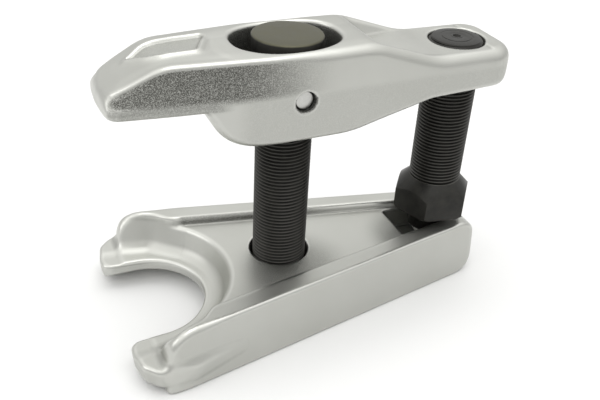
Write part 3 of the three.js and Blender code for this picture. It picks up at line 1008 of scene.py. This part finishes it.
def oxide_material(name, axis=None, worn_top=None):
    """Black oxide on steel: dark and slightly oily. The crests of a thread about the axis at
    x = axis are painted lighter, partly as wear and partly as a painted highlight for their glints,
    and a top face at the height worn_top is worn to olive brown."""
    n = Nodes(name)
    cloud = n.noise(OXIDE_CLOUD, 4.0, 0.6)
    fine = n.noise(OXIDE_FINE, 2.0, 0.5)
    split = n.add("ShaderNodeSeparateXYZ")
    n.wire(n.place, split.inputs[0])
    share = n.ramp(cloud, 0.35, 0.7)
    colour = n.mix(share, OXIDE_DARK, OXIDE_LIGHT)
    if axis is not None:
        across = n.maths("SUBTRACT", split.outputs["X"], axis)
        along = split.outputs["Y"]
        squared = n.maths("ADD", n.maths("MULTIPLY", across, across), n.maths("MULTIPLY", along, along))
        radius = n.maths("SQRT", squared)
        # Painted highlight on the thread crests, along with their wear.
        on_crest = n.ramp(radius, (CREST - 0.35) * MM, (CREST - 0.05) * MM)
        not_beyond = n.ramp(radius, (CREST + 0.1) * MM, (CREST + 0.2) * MM, 1, 0)
        colour = n.mix(n.maths("MULTIPLY", on_crest, not_beyond), colour, CREST_WEAR_AND_GLINT)
    if worn_top is not None:
        worn = n.mix(share, WORN_DARK, WORN_LIGHT)
        colour = n.mix(n.ramp(split.outputs["Z"], worn_top - 0.6 * MM, worn_top - 0.2 * MM), colour, worn)
    rough = n.ramp(cloud, 0.3, 0.7, 0.32, 0.46)
    normal = n.bump(fine, 0.00004, 0.4)
    return n.done(colour, 0.6, rough, normal)


def bright_material():
    """Ground steel with fine turning marks."""
    n = Nodes("bright_steel")
    marks = n.noise(TURNING_MARKS, 2.0, 0.5, (1, 12, 1))
    colour = n.mix(n.ramp(marks, 0.3, 0.7), STEEL_DARK, STEEL_LIGHT)
    rough = n.ramp(marks, 0.3, 0.7, 0.30, 0.38)
    normal = n.bump(marks, 0.00001, 0.2)
    return n.done(colour, 1.0, rough, normal)


# ---- the pieces ----


def place(piece, node, body, slot, material):
    """Gives a piece its material, hides the CAD node that it stands for, and attaches it to its body.
    The slot is not used.
    """
    piece.data.materials.clear()
    piece.data.materials.append(material)
    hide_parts(node)
    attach(piece, body)


forged = forged_material()
oxide = oxide_material("black_oxide")
bolt_oxide = oxide_material("black_oxide_bolt", TIE_X * MM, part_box("tie_bolt")[1].z)
screw_oxide = oxide_material("black_oxide_screw", (TIE_X + SCREW_X) * MM)
bright = bright_material()

place(make_fork_arm(), "lower_fork_arm", "lower_arm", "forged_steel", forged)
place(make_lever_arm(), "upper_lever_arm", "upper_arm", "forged_steel", forged)
place(make_tie_bolt(), "tie_bolt", "tie_bolt", "black_oxide", bolt_oxide)
place(make_forcing_screw(), "forcing_screw", "forcing_screw", "black_oxide", screw_oxide)
place(make_nut(), "adjusting_nut", "nut", "black_oxide", oxide)
place(make_washer(), "seat_washer", "lower_arm", "black_oxide", oxide)
place(make_pin(), "pivot_pin", "upper_arm", "bright_steel", bright)
place(make_ball(), "tip_ball", "forcing_screw", "bright_steel", bright)


# ---- the studio ----

FLOOR_HALF_SIZE = 6
CAMERA_YAW = 25.18  # degrees, from +Y towards +X
CAMERA_PITCH = 32.35  # degrees below the horizon
CAMERA_ROLL = 3.42
CAMERA_PLACE = (-0.11591, -0.24432, 0.21428)
FOCAL_LENGTH = 46.6
SENSOR_WIDTH = 36
ROOM_COLOUR = (1.0, 1.0, 0.985, 1)


def make_floor():
    """A wide pale floor."""
    mesh = bmesh.new()
    bmesh.ops.create_grid(mesh, x_segments=1, y_segments=1, size=FLOOR_HALF_SIZE)
    data = bpy.data.meshes.new("floor")
    mesh.to_mesh(data)
    mesh.free()
    floor = linked("floor", data)
    n = Nodes("pale_floor")
    cloud = n.noise(FLOOR_CLOUD, 2.0, 0.5)
    colour = n.mix(n.ramp(cloud, 0.3, 0.7), FLOOR_DARK, FLOOR_LIGHT)
    floor.data.materials.append(n.done(colour, 0.0, 0.6, n.bump(cloud, 0.0001, 0.1)))


def make_camera():
    """The camera stands where the photograph was taken from."""
    yaw, pitch, roll = (math.radians(angle) for angle in (CAMERA_YAW, CAMERA_PITCH, CAMERA_ROLL))
    ahead = Vector((math.sin(yaw) * math.cos(pitch), math.cos(yaw) * math.cos(pitch), -math.sin(pitch)))
    right = Vector((math.cos(yaw), -math.sin(yaw), 0))
    up = right.cross(ahead)
    rolled_right = right * math.cos(roll) + up * math.sin(roll)
    rolled_up = up * math.cos(roll) - right * math.sin(roll)
    data = bpy.data.cameras.new("camera")
    data.lens = FOCAL_LENGTH
    data.sensor_width = SENSOR_WIDTH
    data.clip_start = 0.01
    camera = bpy.data.objects.new("camera", data)
    bpy.context.scene.collection.objects.link(camera)
    turn = Matrix((rolled_right, rolled_up, -ahead)).transposed()
    camera.matrix_world = Matrix.Translation(CAMERA_PLACE) @ turn.to_4x4()
    bpy.context.scene.camera = camera


def softbox(name, stand, target, width, height, power):
    """A soft rectangular lamp that faces the target. Sizes are in metres, and power in watts."""
    data = bpy.data.lights.new(name, "AREA")
    data.shape = "RECTANGLE"
    data.size = width
    data.size_y = height
    data.energy = power
    light = bpy.data.objects.new(name, data)
    bpy.context.scene.collection.objects.link(light)
    light.location = stand
    light.rotation_mode = "QUATERNION"
    light.rotation_quaternion = (Vector(target) - Vector(stand)).to_track_quat("-Z", "Y")


def strength_ramp(tree, source, low, high, to_low, to_high):
    """Maps a range of a direction's part onto a range of brightness."""
    node = tree.nodes.new("ShaderNodeMapRange")
    limits = {"From Min": low, "From Max": high, "To Min": to_low, "To Max": to_high}
    for socket, number in limits.items():
        node.inputs[socket].default_value = number
    tree.links.new(source, node.inputs["Value"])
    return node.outputs["Result"]


def make_surroundings():
    """A bright room for the metal to reflect: a little darker behind the camera, and brightest
    overhead."""
    world = bpy.data.worlds.new("studio")
    world.use_nodes = True
    bpy.context.scene.world = world
    tree = world.node_tree
    background = tree.nodes["Background"]
    direction = tree.nodes.new("ShaderNodeTexCoord")
    split = tree.nodes.new("ShaderNodeSeparateXYZ")
    tree.links.new(direction.outputs["Generated"], split.inputs[0])
    total = tree.nodes.new("ShaderNodeMath")
    total.operation = "ADD"
    tree.links.new(strength_ramp(tree, split.outputs["Y"], -0.9, 0.2, 0.62, 0.74), total.inputs[0])
    tree.links.new(strength_ramp(tree, split.outputs["Z"], 0.2, 0.9, 0.0, 0.75), total.inputs[1])
    tree.links.new(total.outputs[0], background.inputs["Strength"])
    background.inputs["Color"].default_value = ROOM_COLOUR


make_camera()
make_floor()
make_surroundings()
middle = (0, 0, 0.06)
softbox("overhead", (0.05, 0.0, 0.9), middle, width=0.7, height=0.5, power=1.6)
softbox("left", (-0.9, 0.1, 0.6), middle, width=0.5, height=0.7, power=1.2)
bpy.context.scene.view_settings.view_transform = "Standard"
